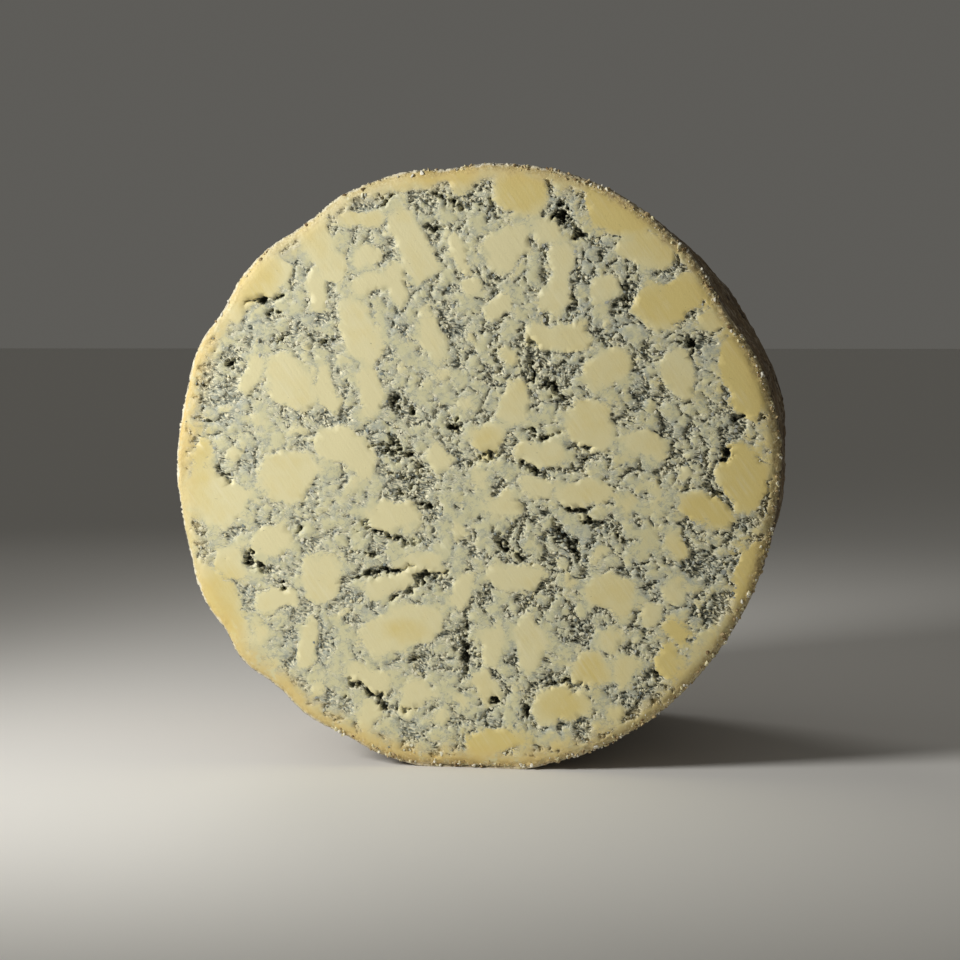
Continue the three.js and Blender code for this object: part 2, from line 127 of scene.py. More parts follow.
# Holes: x, z, half length, half width, tilt in degrees, depth.
holes = [
    (27, 82, 5.5, 3.2, 110, 6), (17.5, 33, 4.5, 2, 85, 6), (-69, 50.5, 2.4, 1.5, 50, 5),
    (-83.5, 34.5, 2.2, 2, 0, 4), (-28, 20, 3, 2, 110, 5), (-22.5, 19, 3.2, 1.8, 110, 5),
    (-26, 5, 3.6, 1.4, -8, 5), (-8, 15, 3, 2.4, 120, 5), (68, 38.5, 3.6, 2.4, -30, 6),
    (81, 5.5, 3.4, 2.6, -50, 5), (83.5, 15, 2.6, 1.6, 60, 4), (48, 54, 5.5, 3, 60, 3.5),
    (36.5, 1.5, 2.6, 1.8, 20, 4), (-77, -31.5, 3, 1.9, -50, 6), (-72, -34.5, 4, 1.8, -20, 4),
    (-68, -40, 1.4, 2.4, 0, 4), (-16, -12.5, 3.4, 1.8, -30, 5), (3.5, -78.5, 2.4, 1.8, -30, 5),
    (16, -80.5, 3.4, 1.8, -40, 5), (-20, -65.5, 3, 1.6, 15, 4), (-46, -77.5, 2.6, 1.5, 70, 5),
    (58, -68, 3, 1.6, -45, 4), (-60, -21, 1.6, 2, 0, 4), (-33, -80, 1.8, 3, 10, 4),
]

# Where the mould is thickest and the curd most crumbled: x, z, half width, half height.
mouldPatches = [
    (-86, 19, 9, 7), (-78, 1, 4, 6), (-48, 16, 6, 4), (-63, 69, 4.5, 3), (-57, 48, 6, 3), (-78, 46, 6, 3),
    (-38, 86, 5, 3.5), (8, 94, 3, 5.5), (-8, 93, 3, 2.5), (27, 84, 6, 7), (34, 64, 5, 7), (34, 49, 5, 6),
    (30, 33, 4, 5), (-27, 47, 4, 5), (-8, 45, 2.5, 3.5), (38, 70, 6, 5), (47, 45, 8, 4), (48, 55, 6, 7),
    (64, 63, 7, 3), (75, 37, 5, 5), (70, 34, 3, 5), (-34, 8, 3, 7), (53, 26, 3, 7), (62, 13, 5, 3),
    (82, 10, 4, 7), (92, -11, 2.5, 2.5), (87, -18, 3, 3), (33, -25, 7, 7), (75, -32, 10, 6), (74, -46, 9, 5),
    (59, -40, 5, 5), (52, -34, 4, 4), (-78, -43, 3, 4.5), (-52, -79, 6, 3), (-63, -62, 4, 6),
    (-43, -44, 5, 3.5), (-36, -49, 5, 3), (-24, -87, 4, 6), (3, -84, 5, 3), (12, -63, 3, 3.5),
    (24, -88, 4, 3), (30, -87, 6, 3), (35, -55, 4, 5), (46, -75, 5, 5), (56, -75, 5, 4), (-53, -60, 2.5, 9),
]
crumblePatches = [
    (-62, 8, 4, 4), (-46, 29, 4, 4), (-56, 27, 3, 5), (-53, -8, 3, 4), (13, 79, 4, 2), (-6, 76, 4, 3),
    (-46, 44, 3, 4), (-20, -10, 11, 9), (64, 63.5, 7, 3.5), (48, 55, 5, 6), (-56, 38, 3, 3),
    (-16, 76, 4, 3), (68, -63, 3, 4), (37, -26, 5, 5), (46.5, -35, 4, 4), (-26, 17, 6, 6), (33, -30, 6, 6),
]

# Where the curd is ripest: x, z, half width, half height.
ripePatches = [
    (62, 53.5, 13, 8), (86, 29, 9, 17), (88, -33, 8, 12), (86, -2, 9, 13), (45, 84, 14, 8), (4, -90.5, 14, 5),
    (27, -78, 9, 7), (62, -64, 6, 7), (65, -54.5, 6, 5), (75, -13.5, 9, 6), (14, 88.5, 9, 7), (-88, -48, 8, 14),
    (-77, 61, 11, 9), (37, -67, 6, 6), (-12, 96, 12, 4), (-25, -55, 8, 4), (3, 8, 6, 6), (-95, 6, 5, 14),
]
# The rim by sector: angle from the right and half width in degrees, then its ochre, its white bloom, its crust.
# the bloom column is lower and the crust column higher on the right and at the bottom: real bloom and crust,
# and also painted shade where the rim faces away from the key light
rimTones = [
    (0, 55, 0.35, 0.15, 0.8), (45, 30, 0.3, 0.4, 1.0), (90, 20, 0.6, 1.0, 0.45), (127, 28, 0.35, 0.8, 0.35),
    (167, 18, 0.85, 1.0, 0.1), (200, 22, 0.45, 1.0, 0.1), (227, 20, 0.8, 0.8, 0.2), (265, 26, 0.95, 0.4, 0.6),
    (308, 26, 0.5, 0.4, 0.6),
]


# Seeded value noise, the same for the same place and seed.
def draw(i, j, seed):
    phase = np.sin(i * 127.1 + j * 311.7 + seed * 74.7) * 43758.5453
    return phase - np.floor(phase)


def noise(x, z, length, seed):
    x, z = x / length, z / length
    i, j = np.floor(x), np.floor(z)
    u, v = x - i, z - j
    u, v = u * u * (3 - 2 * u), v * v * (3 - 2 * v)
    low = draw(i, j, seed) * (1 - u) + draw(i + 1, j, seed) * u
    high = draw(i, j + 1, seed) * (1 - u) + draw(i + 1, j + 1, seed) * u
    return low * (1 - v) + high * v


def rise(value, low, high):
    t = np.clip((value - low) / (high - low), 0, 1)
    return t * t * (3 - 2 * t)


def outlineRadius(degrees, kept=1.0):
    radius = np.zeros(np.shape(degrees)) + drum["radius"]
    for at, height, halfWidth in outlineWaves:
        away = np.abs((degrees - at + 180) % 360 - 180)
        wave = kept * height * (1 + np.cos(math.pi * away / halfWidth)) / 2
        radius = radius + np.where(away < halfWidth, wave, 0)
    return radius


def flatRadius(angle):
    # how far the flat that the drum rests on lies from the axis, along each angle
    return (drum["axisHeight"] - drum["flatLift"]) / np.maximum(-np.sin(angle), 1e-3)


def edgeRadius(angle):
    return np.minimum(outlineRadius(np.degrees(angle) % 360), flatRadius(angle))


def fromMiddle(row, x, z):
    return x - row[0] - drum["readX"], z - row[1] - drum["readZ"]


def ovalReach(shape, x, z):
    # how far a place reaches over a squarish oval, 1 on its edge, and how many mm inside that edge it lies
    turn = math.radians(shape[4])
    dx, dz = fromMiddle(shape, x, z)
    along = (dx * math.cos(turn) + dz * math.sin(turn)) / shape[2]
    across = (dz * math.cos(turn) - dx * math.sin(turn)) / shape[3]
    power = cut["squareness"]
    reach = (np.abs(along) ** power + np.abs(across) ** power) ** (1 / power)
    return reach, np.hypot(dx, dz) * (1 / np.maximum(reach, 0.05) - 1)


def crackPoints(stops, steps=12):
    # a smooth line through the stops, as evenly stepped points
    bends = np.array([stops[0], *stops, stops[-1]], float) + (drum["readX"], drum["readZ"])
    line = []
    for a, b, c, d in zip(bends, bends[1:], bends[2:], bends[3:]):
        for t in np.arange(steps) / steps:
            bend = 2 * a - 5 * b + 4 * c - d
            line.append(0.5 * (2 * b + (c - a) * t + bend * t * t + (3 * b - a - 3 * c + d) * t ** 3))
    return np.array(line + [bends[-1]])


# The smaller nuggets: one to a cell, where no larger nugget, hole or crack is.
small = {"cell": 10.5, "least": 2.2, "most": 3.9, "slimness": 0.72, "gap": 1.6, "sides": 8}


def smallNuggets():
    taken = nuggets + holes
    lines = [(crack[0], crackPoints(crack[2:])) for crack in cracks]
    around = np.arange(small["sides"]) * 2 * math.pi / small["sides"]
    last = math.ceil(drum["radius"] / small["cell"])
    found = []
    for i in range(-last, last + 1):
        for j in range(-last, last + 1):
            x, z = (i + draw(i, j, 9)) * small["cell"], (j + draw(j, i, 9)) * small["cell"]
            size = small["least"] + (small["most"] - small["least"]) * draw(i + j, i - j, 9)
            room = size + small["gap"]
            ringX, ringZ = x + room * np.cos(around), z + room * np.sin(around)
            if math.hypot(x, z) > edgeRadius(math.atan2(z, x)) - room:
                continue
            if any((ovalReach(other, ringX, ringZ)[0] < 1).any() for other in taken):
                continue
            if any(np.hypot(*(line - (x, z)).T).min() < halfWidth + size for halfWidth, line in lines):
                continue
            turn = 360 * draw(i, j, 10)
            found.append((x - drum["readX"], z - drum["readZ"], size, size * small["slimness"], turn))
    return found


# What the cut shows. Lengths in millimetres, shares of what the rows above say.
cut = {
    "squareness": 2.5, "wander": 1.9, "wanderLength": 8, "fineWander": 1.1, "fineLength": 2.9,  # nuggets
    "curdRelief": 0.15, "nuggetRise": 0.04, "veinDepth": 0.35,
    "cell": 5.6,  # the curd between the nuggets
    "veinWidth": 1.0, "veinSpread": 9, "veinLength": 4.2, "patchWidth": 0.9, "crackWidth": 0.85,
    "ragged": 1.3, "raggedLength": 1.7, "raggedFine": 0.8, "seam": 0.6, "seamLength": 7,
    "tear": 1.2, "tearLength": 1.4, "tearFine": 0.7, "lowerLip": 2.4, "bottomLength": 1.2,  # cracks and holes
    "crackShare": 0.62, "crackDeep": 0.8, "crackReach": 2.2, "holeDeep": 0.75, "holeReach": 2.4,
    "lipInset": 0.2, "lipRagged": 0.5, "lipRound": 1.0, "lipCrumbled": 1.3,
}


def curdCells(x, z, length, seed):
    # the way to the edge between the two nearest of a grid of scattered points, and the nearest's own draw
    i, j = np.floor(x / length), np.floor(z / length)
    nearest = np.full(x.shape, 9e9)
    second = np.full(x.shape, 9e9)
    mark = np.zeros(x.shape)
    for di in (-1, 0, 1):
        for dj in (-1, 0, 1):
            a, b = i + di, j + dj
            away = np.hypot((a + draw(a, b, seed)) * length - x, (b + draw(b, a, seed + 1)) * length - z)
            closer = away < nearest
            second = np.where(closer, nearest, np.minimum(second, away))
            nearest = np.where(closer, away, nearest)
            mark = np.where(closer, draw(a, b, seed + 2), mark)
    return (second - nearest) / 2, mark


def strayed(x, z):
    def sway(length, seed):
        return 2 * noise(x, z, length, seed) - 1
    dx = cut["wander"] * sway(cut["wanderLength"], 1) + cut["fineWander"] * sway(cut["fineLength"], 11)
    dz = cut["wander"] * sway(cut["wanderLength"], 2) + cut["fineWander"] * sway(cut["fineLength"], 12)
    return x - dx, z - dz


def uneven(x, z, size, length, fineLength, seed):
    # a rough line's way in and out, in mm: broad teeth with finer ones on them
    return size * (noise(x, z, length, seed) + 0.6 * noise(x, z, fineLength, seed + 1) - 0.8)


def patches(rows, x, z):
    cover = np.zeros(x.shape)
    for row in rows:
        dx, dz = fromMiddle(row, x, z)
        cover = np.maximum(cover, 1 - rise(np.hypot(dx / row[2], dz / row[3]), 0.55, 1.35))
    return cover


def curdFields(sx, sz):
    # how many mm inside a nugget a place lies (below 0 outside), and that nugget's own draw
    inside = np.full(sx.shape, -6.0)
    tone = np.zeros(sx.shape)
    for k, shape in enumerate(nuggets + smallNuggets()):
        near = np.hypot(*fromMiddle(shape, sx, sz)) < shape[2] + 6
        depth = np.full(sx.shape, -6.0)
        depth[near] = ovalReach(shape, sx[near], sz[near])[1]
        tone = np.where(depth > inside, draw(k, 3, 13), tone)
        inside = np.maximum(inside, depth)
    return inside, tone


def openingFields(x, z, sx, sz):
    # the depth of the cracks and holes, and how near a place is to one
    tear = uneven(x, z, cut["tear"], cut["tearLength"], cut["tearFine"], 14)
    pit = np.zeros(x.shape)
    broken = np.zeros(x.shape)
    for halfWidth, depth, *stops in cracks:
        line = crackPoints(stops)
        near = np.hypot(sx - line[:, 0].mean(), sz - line[:, 1].mean()) < np.ptp(line, axis=0).max() / 2 + 8
        away = np.full(near.sum(), 9.0)
        deep = np.zeros(near.sum())
        for k, (px, pz) in enumerate(line):
            opening = math.sin(math.pi * (k + 0.5) / len(line))
            dx, dz = sx[near] - px, sz[near] - pz
            d = np.hypot(dx, dz)
            away = np.minimum(away, d)
            # the wall that faces the light slopes, the other one is steep
            lean = np.where(0.6 * dx - 0.8 * dz > 0, 1 / cut["lowerLip"], 1)
            wide = cut["crackShare"] * halfWidth * (0.35 + 0.65 * opening)
            share = np.maximum(d * lean + 0.8 * tear[near], 0) / wide
            deep = np.maximum(deep, cut["crackDeep"] * depth * opening * np.clip(1 - share ** 2, 0, 1))
        pit[near] = np.maximum(pit[near], deep)
        broken[near] = np.maximum(broken[near], 1 - rise(away, halfWidth, halfWidth + cut["crackReach"]))
    for shape in holes:
        near = np.hypot(*fromMiddle(shape, sx, sz)) < shape[2] + 5
        reach, depth = ovalReach(shape, sx[near], sz[near])
        deep = cut["holeDeep"] * shape[5] * (1 - rise(reach + 0.75 * tear[near], 0.25, 0.9))
        pit[near] = np.maximum(pit[near], deep)
        broken[near] = np.maximum(broken[near], 1 - rise(-depth, 0, cut["holeReach"]))
    return pit * (0.15 + 1.5 * noise(x, z, cut["bottomLength"], 17)), broken


def faceFields(x, z):
    sx, sz = strayed(x, z)
    inside, tone = curdFields(sx, sz)
    pit, broken = openingFields(x, z, sx, sz)
    mould = patches(mouldPatches, x, z)
    crumble = patches(crumblePatches, x, z)
    # the veins run between the lumps of curd, and are wide where the mould has spread
    between, cellTone = curdCells(sx, sz, cut["cell"], 20)
    line = np.where(inside < 0, np.minimum(between, 0.4 - inside), 1.8 * inside + 0.4)
    spread = 1.8 * noise(x, z, cut["veinSpread"], 4) + 2.9 * noise(x, z, cut["veinLength"], 5) - 2.08
    width = cut["veinWidth"] * spread
    width = width + cut["patchWidth"] * np.maximum(mould, crumble) + cut["crackWidth"] * broken
    gap = line - width + uneven(x, z, cut["ragged"], cut["raggedLength"], cut["raggedFine"], 6)
    # thin dark lines where two lumps of curd meet
    seam = 1 - rise(line + 0.7 * noise(x, z, cut["raggedLength"], 18), 0.5, 1.0)
    gap = gap - cut["seam"] * seam * rise(noise(x, z, cut["seamLength"], 19), 0.3, 0.55)
    angle = np.arctan2(z, x)
    rim = edgeRadius(angle) - np.hypot(x, z)
    gap = gap + 3 * (1 - rise(rim, 1.5, 4.5))  # below 0 in a vein, and none at the rim
    level = cut["curdRelief"] * noise(x, z, cut["wanderLength"], 3)
    level = level + cut["nuggetRise"] * (1 - rise(inside, -1.3, 1.3))
    sunk = cut["veinDepth"] * rise(-gap, 0.1, 2.2) * noise(x, z, cut["wanderLength"], 4)
    ochre, bloom, crust = rimFields(angle)
    return {
        "depth": np.maximum(level + sunk, pit), "gap": gap, "inside": inside, "pit": pit,
        "tone": np.where(inside < 0, cellTone, tone), "mould": mould, "rim": rim,
        "ripe": patches(ripePatches, x, z), "ochre": ochre, "bloom": bloom, "crust": crust,
    }


def rimFields(angle):
    # the rim's three tones all round, each sector fading into the next
    total = np.full(angle.shape, 1e-6)
    tones = [np.zeros(angle.shape) for _ in range(3)]
    for at, halfWidth, *shares in rimTones:
        away = np.abs((np.degrees(angle) - at + 180) % 360 - 180) / halfWidth
        weight = np.maximum(1.3 - away, 0) ** 2
        total = total + weight
        tones = [tone + weight * share for tone, share in zip(tones, shares)]
    return [tone / total for tone in tones]


# One output socket. An expression on it adds Math nodes to its tree.
class Wire:
    def __init__(self, canvas, socket):
        self.canvas = canvas
        self.socket = socket

    def math(self, operation, *values):
        return self.canvas.add("ShaderNodeMath", {"operation": operation}, values)

    def __add__(self, other):
        return self.math("ADD", self, other)

    def __sub__(self, other):
        return self.math("SUBTRACT", self, other)

    def __mul__(self, other):
        return self.math("MULTIPLY", self, other)

    def __rsub__(self, other):
        return self.math("SUBTRACT", other, self)

    def __neg__(self):
        return self.math("MULTIPLY", self, -1)

    __radd__ = __add__
    __rmul__ = __mul__

    def least(self, other):
        return self.math("MINIMUM", self, other)

    def most(self, other):
        return self.math("MAXIMUM", self, other)

    def rise(self, low, high):  # 0 to 1 in a soft step
        settings = {"interpolation_type": "SMOOTHSTEP"}
        if low > high:
            return 1 - self.canvas.add("ShaderNodeMapRange", settings, {0: self, 1: high, 2: low})
        return self.canvas.add("ShaderNodeMapRange", settings, {0: self, 1: low, 2: high})


# A node tree that is drawn by calls: add() makes any node and hands back one of its outputs.
class Canvas:
    def __init__(self, tree):
        self.tree = tree

    def add(self, kind, settings=None, values=(), out=0):
        made = self.tree.nodes.new(kind)
        for name, setting in (settings or {}).items():
            setattr(made, name, setting)
        pairs = values.items() if isinstance(values, dict) else enumerate(values)
        for key, value in pairs:
            if isinstance(value, Wire):
                self.tree.links.new(value.socket, made.inputs[key])
            else:
                made.inputs[key].default_value = value
        return Wire(self, made.outputs[out])

    def vector(self, operation, *values):
        return self.add("ShaderNodeVectorMath", {"operation": operation}, values)

    def scaled(self, place, x, y, z):
        return self.vector("MULTIPLY", place, (x, y, z))

    def stretched(self, place, factor):
        return self.add("ShaderNodeVectorMath", {"operation": "SCALE"}, {0: place, "Scale": factor})

    def joined(self, x, y, z):
        return self.add("ShaderNodeCombineXYZ", {}, [x, y, z])

    def axis(self, place, name):
        return self.add("ShaderNodeSeparateXYZ", {}, [place], out="XYZ".index(name))

    def turned(self, place, degrees):  # about the drum's axis
        values = {"Vector": place, "Angle": math.radians(degrees)}
        return self.add("ShaderNodeVectorRotate", {"rotation_type": "Y_AXIS"}, values)

    def blend(self, factor, low, high):  # colours
        values = {0: factor, 6: low, 7: high}
        return self.add("ShaderNodeMix", {"data_type": "RGBA", "clamp_factor": True}, values, out=2)

    def grain(self, place, perMm, detail, roughness, out=0):
        values = {"Vector": place, "Scale": perMm, "Detail": detail, "Roughness": roughness}
        return self.add("ShaderNodeTexNoise", {}, values, out)

    def isShape(self):  # a Geometry Nodes tree rather than a material
        return self.tree.type == "GEOMETRY"

    def millimetres(self):  # the place in the piece, in mm
        kind, out = ("GeometryNodeInputPosition", 0) if self.isShape() else ("ShaderNodeTexCoord", 3)
        return self.scaled(self.add(kind, out=out), 1 / mm, 1 / mm, 1 / mm)

    def sway(self, place, length):  # a soft wander either way
        return self.vector("SUBTRACT", self.grain(place, 1 / length, 2, 0.6, out=1), (0.5, 0.5, 0.5))

    def named(self, name):  # a number that the mesh holds for each point
        if self.isShape():
            return self.add("GeometryNodeInputNamedAttribute", {"data_type": "FLOAT"}, {"Name": name})
        return self.add("ShaderNodeAttribute", {"attribute_name": name}, out=2)


def addObject(name, data):
    obj = bpy.data.objects.new(name, data)
    bpy.context.scene.collection.objects.link(obj)
    return obj


def meshFrom(name, points, faces, fields):
    # points in mm about the drum's axis; a field is one number for each point
    mesh = bpy.data.meshes.new(name)
    mesh.from_pydata((points * mm + axisPlace).tolist(), [], faces)
    for field, values in fields.items():
        mesh.attributes.new(field, "FLOAT", "POINT").data.foreach_set("value", values.astype(np.float32))
    return addObject(name, mesh)


def shapeTree(name, *labels):
    # a Geometry Nodes tree with a mesh and a material in, a mesh out, and a number in for each label
    tree = bpy.data.node_groups.new(name, "GeometryNodeTree")
    kinds = {"Geometry": "Geometry", **{label: "Float" for label in labels}, "Material": "Material"}
    for label, kind in kinds.items():
        tree.interface.new_socket(label, in_out="INPUT", socket_type="NodeSocket" + kind)
    tree.interface.new_socket("Geometry", in_out="OUTPUT", socket_type="NodeSocketGeometry")
    canvas = Canvas(tree)
    entry = tree.nodes.new("NodeGroupInput")
    return canvas, {socket.name: Wire(canvas, socket) for socket in entry.outputs if socket.name}


def finishTree(canvas, geometry, material):
    geometry = canvas.add("GeometryNodeRealizeInstances", {}, {"Geometry": geometry})
    geometry = canvas.add("GeometryNodeSetMaterial", {}, {"Geometry": geometry, "Material": material})
    end = canvas.tree.nodes.new("NodeGroupOutput")
    canvas.tree.links.new(geometry.socket, end.inputs[0])


def applyTree(obj, canvas, material, values):
    # puts the tree on the object as a modifier, its inputs set by their identifiers
    modifier = obj.modifiers.new(canvas.tree.name, "NODES")
    modifier.node_group = canvas.tree
    for item in canvas.tree.interface.items_tree:
        if item.name in values:
            modifier[item.identifier] = float(values[item.name])
        elif item.name == "Material":
            modifier[item.identifier] = material


def settle(obj, name, keptShare=1.0):
    # the shape that the modifiers make, as a plain mesh of its own; the object that had them goes
    if keptShare < 1:
        obj.modifiers.new("thin", "DECIMATE").ratio = keptShare
    graph = bpy.context.evaluated_depsgraph_get()
    evaluated = obj.evaluated_get(graph)
    mesh = bpy.data.meshes.new_from_object(evaluated, preserve_all_data_layers=True, depsgraph=graph)
    mesh.name = name
    bpy.data.objects.remove(obj)
    print("stage:", name, "made,", len(mesh.polygons), "faces")
    return addObject(name, mesh)


def discPlaces(count):
    # an even grid over a disc, as a share of the radius and an angle
    steps = np.linspace(-1, 1, count + 1)
    a, b = np.meshgrid(steps, steps, indexing="ij")
    wide = np.abs(a) > np.abs(b)
    longer = np.where(wide, a, b)
    shorter = np.where(wide, b, a)
    lean = np.divide(shorter, longer, out=np.zeros_like(a), where=longer != 0) * math.pi / 4
    angle = np.where(wide, lean, math.pi / 2 - lean) + np.where(longer < 0, math.pi, 0)
    return np.abs(longer), angle


def drumRing(angle, y, inset, relief, kept):
    # the drum's outline at a depth, bumps and flat included
    around, across = drum["radius"] * np.sin(angle), drum["radius"] * np.cos(angle)
    bump = 2 * noise(across + y, around - y, drum["bumpLength"], 6) - 1
    radius = outlineRadius(np.degrees(angle) % 360, kept) - inset + relief * bump
    return np.minimum(radius, flatRadius(angle))


# The rind round the drum
rind = {
    "step": 1.15, "keptShare": 0.8, "lipWidth": 2.6, "lipDepth": 4, "lipSteps": 6, "bodyFront": 15,
    "bodyInset": 9, "sideFront": 2.4, "bumpsFrom": 31, "sway": 8, "swayLength": 1 / 0.17, "grain": 0.45,
    "grainLength": 1.4,
    "lump": 1.3, "lumpLength": 12, "cobble": 0.7, "cobbleLength": 4.4, "crack": 0.6, "crackLength": 9,
    "pit": 0.9, "pitLength": 2.6,
}


def endHollow(x, z):
    return drum["endHollow"] * noise(x, z, drum["hollowLength"], 7)


def rindProfile():
    # rows from the lip inside the cut edge, over the edge, down the side and over the uncut end: depth, inset,
    # share of the side's bumps, share of the end's hollows, and how far the row is drawn in to the axis
    side = drum["length"] - drum["shoulder"]
    rows = [(rind["bodyFront"], rind["bodyInset"], 0, 0, 0),
            (rind["lipDepth"], rind["lipWidth"] + 1.5, 0, 0, 0)]
    for step in range(rind["lipSteps"] + 1):
        t = step / rind["lipSteps"]
        rows.append((1.1 + 2.6 * (1 - t) ** 2, rind["lipWidth"] * (1 - t) ** 0.8 + 0.45, 0, 0, 0))
    rows += [(1.3, 0.2, 0, 0, 0), (1.8, 0.05, 0, 0, 0)]
    rowCount = round((side - rind["sideFront"]) / rind["step"])
    for row in range(rowCount + 1):
        y = rind["sideFront"] + (side - rind["sideFront"]) * row / rowCount
        rows.append((y, 0, min(1, row * rind["step"] / rind["bumpsFrom"]), 0, 0))
    arcCount = round(drum["shoulder"] * math.pi / 2 / rind["step"])
    for row in range(1, arcCount + 1):
        turn = math.pi / 2 * row / arcCount
        y = side + drum["shoulder"] * math.sin(turn)
        rows.append((y, drum["shoulder"] * (1 - math.cos(turn)), math.cos(turn), row / arcCount, 0))
    endCount = round((drum["radius"] - drum["shoulder"]) / rind["step"])
    for row in range(1, endCount):
        rows.append((drum["length"], drum["shoulder"], 0, 1, row / endCount))
    return np.array(rows)


def rindPoints():
    rows = rindProfile()
    count = round(2 * math.pi * drum["radius"] / rind["step"])
    angle = np.arange(count) * 2 * math.pi / count
    y, inset, relief, hollow, drawnIn = (column[:, None] for column in rows.T)
    kept = 1 + (drum["outlineKept"] - 1) * np.clip(y / drum["length"], 0, 1)
    radius = drumRing(angle[None, :], y, inset, drum["sideBump"] * relief, kept) * (1 - drawnIn)
    x, z = radius * np.cos(angle), radius * np.sin(angle)
    chip = drum["edgeChip"] * noise(x, z, drum["bumpLength"], 5) * rise(6 - y, 0, 5)
    depth = y + chip * (y < 8) - hollow * endHollow(x, z)
    return np.stack([x, depth, z], axis=-1)


rindGrid = rindPoints()
# from places in mm about the axis to metres in the shared frame
middleX = (rindGrid[..., 0].min() + rindGrid[..., 0].max()) / 2
axisPlace = np.array([-middleX * mm, cadBox[0].y, drum["axisHeight"] * mm])


def makeRindForm():
    rows, count, _ = rindGrid.shape
    ring = np.arange(count)
    after = (ring + 1) % count
    start = np.arange(rows - 1)[:, None] * count
    a, b = start + ring, start + after
    faces = np.stack([a, a + count, b + count, b], axis=-1).reshape(-1, 4).tolist()
    # a fan of triangles shuts each end, about a point on the axis
    front, back, last = rows * count, rows * count + 1, (rows - 1) * count
    faces += [[front, i, j] for i, j in zip(ring.tolist(), after.tolist())]
    faces += [[last + i, back, last + j] for i, j in zip(ring.tolist(), after.tolist())]
    ends = [[0, rind["bodyFront"], 0], [0, drum["length"] - endHollow(0.0, 0.0), 0]]
    points = np.vstack([rindGrid.reshape(-1, 3), ends])
    bloom = rimFields(np.arctan2(points[:, 2], points[:, 0]))[1]
    lip = rise(rind["lipDepth"] - points[:, 1], 0, rind["lipWidth"])
    return meshFrom("rindForm", points, faces, {"lip": lip, "bloom": bloom})


def rindRelief(canvas, place):
    # lumps, crusty cobbles, grain, cracks and pits of the rind, each 0 to 1; they shape it and colour it
    swayed = canvas.vector("ADD", place, canvas.stretched(canvas.sway(place, rind["swayLength"]), rind["sway"]))
    lumps = canvas.grain(swayed, 1 / rind["lumpLength"], 3, 0.55)
    cobbles = 1 - canvas.add("ShaderNodeTexVoronoi", {"feature": "SMOOTH_F1"}, {
        "Vector": swayed, "Scale": 1 / rind["cobbleLength"], "Smoothness": 0.35, "Detail": 1.5,
        "Roughness": 0.6})
    grains = canvas.grain(place, 1 / rind["grainLength"], 3, 0.65)
    cracks = canvas.add("ShaderNodeTexVoronoi", {"feature": "DISTANCE_TO_EDGE"}, {
        "Vector": swayed, "Scale": 1 / rind["crackLength"]}) * rind["crackLength"]
    cracks = (cracks + (grains - 0.5) * 2.2).rise(0.5, 0.0) * canvas.grain(place, 0.09, 3, 0.6).rise(0.5, 0.62)
    pits = canvas.grain(place, 1 / rind["pitLength"], 2, 0.5).rise(0.62, 0.72)
    return lumps, cobbles, grains, cracks, pits


def rindTree():
    canvas, inputs = shapeTree("rindRelief", "Lump", "Cobble", "Grain", "Crack", "Pit")
    place = canvas.millimetres()
    lumps, cobbles, grains, cracks, pits = rindRelief(canvas, place)
    sink = inputs["Lump"] * (0.75 - lumps).most(0) + inputs["Cobble"] * (1 - cobbles).most(0)
    sink = sink + inputs["Grain"] * (1 - grains) + inputs["Crack"] * cracks + inputs["Pit"] * pits
    sink = sink * (1 - 0.6 * canvas.named("lip")) * canvas.axis(place, "Z").rise(0.3, 3)  # the flat below stays
    offset = canvas.stretched(canvas.add("GeometryNodeInputNormal"), sink * -mm)
    moved = canvas.add("GeometryNodeSetPosition", {}, {"Geometry": inputs["Geometry"], "Offset": offset})
    finishTree(canvas, moved, inputs["Material"])
    return canvas


# The cut face. Its skirt runs back inside the rind: inset and depth of each row.
face = {
    "grid": 620, "keptShare": 0.25, "skirt": [(0.7, 2.0), (2.4, 4.5), (9, 17)], "skin": 0.06,
    "lumpLength": 1.1, "slimness": 0.4, "turn": -20, "sway": 3.4, "swayLength": 4.4, "lineLength": 2.6,
    "void": 0.85, "grain": 0.5, "grainLength": 0.62, "curdGrain": 0.05, "curdGrainLength": 1.25,
    "vigourLeft": 0.55, "vigourFrom": -42, "vigourTo": 35,
}


def faceGrid(count):
    share, angle = discPlaces(count)
    edge = edgeRadius(angle) - cut["lipInset"]
    ex, ez = edge * np.cos(angle), edge * np.sin(angle)
    ragged = cut["lipRagged"] * (0.6 * noise(ex, ez, 2.3, 31) + 0.4 * noise(ex, ez, 1.1, 32))
    radius = share * (edge - ragged * rise(share, 0.9, 1))
    x, z = radius * np.cos(angle), radius * np.sin(angle)
    fields = faceFields(x, z)
    rim = fields["rim"]
    chip = drum["edgeChip"] * noise(x, z, drum["bumpLength"], 5)
    rounding = cut["lipRound"] * (0.6 + 0.8 * noise(x, z, 5, 33))
    crumbled = 0.5 * noise(x, z, 1.3, 34) + 0.5 * noise(x, z, 0.8, 35)
    crumbled = crumbled * (1 - rise(rim, 0.6, 2.4 + 2 * fields["crust"]))
    depth = np.maximum(fields["depth"], face["skin"]) + chip * (1 - rise(rim, 0.5, 5))
    fields["depth"] = depth + rounding * (1 - rise(rim, 0.1, 1.6)) + cut["lipCrumbled"] * crumbled
    return x, z, fields


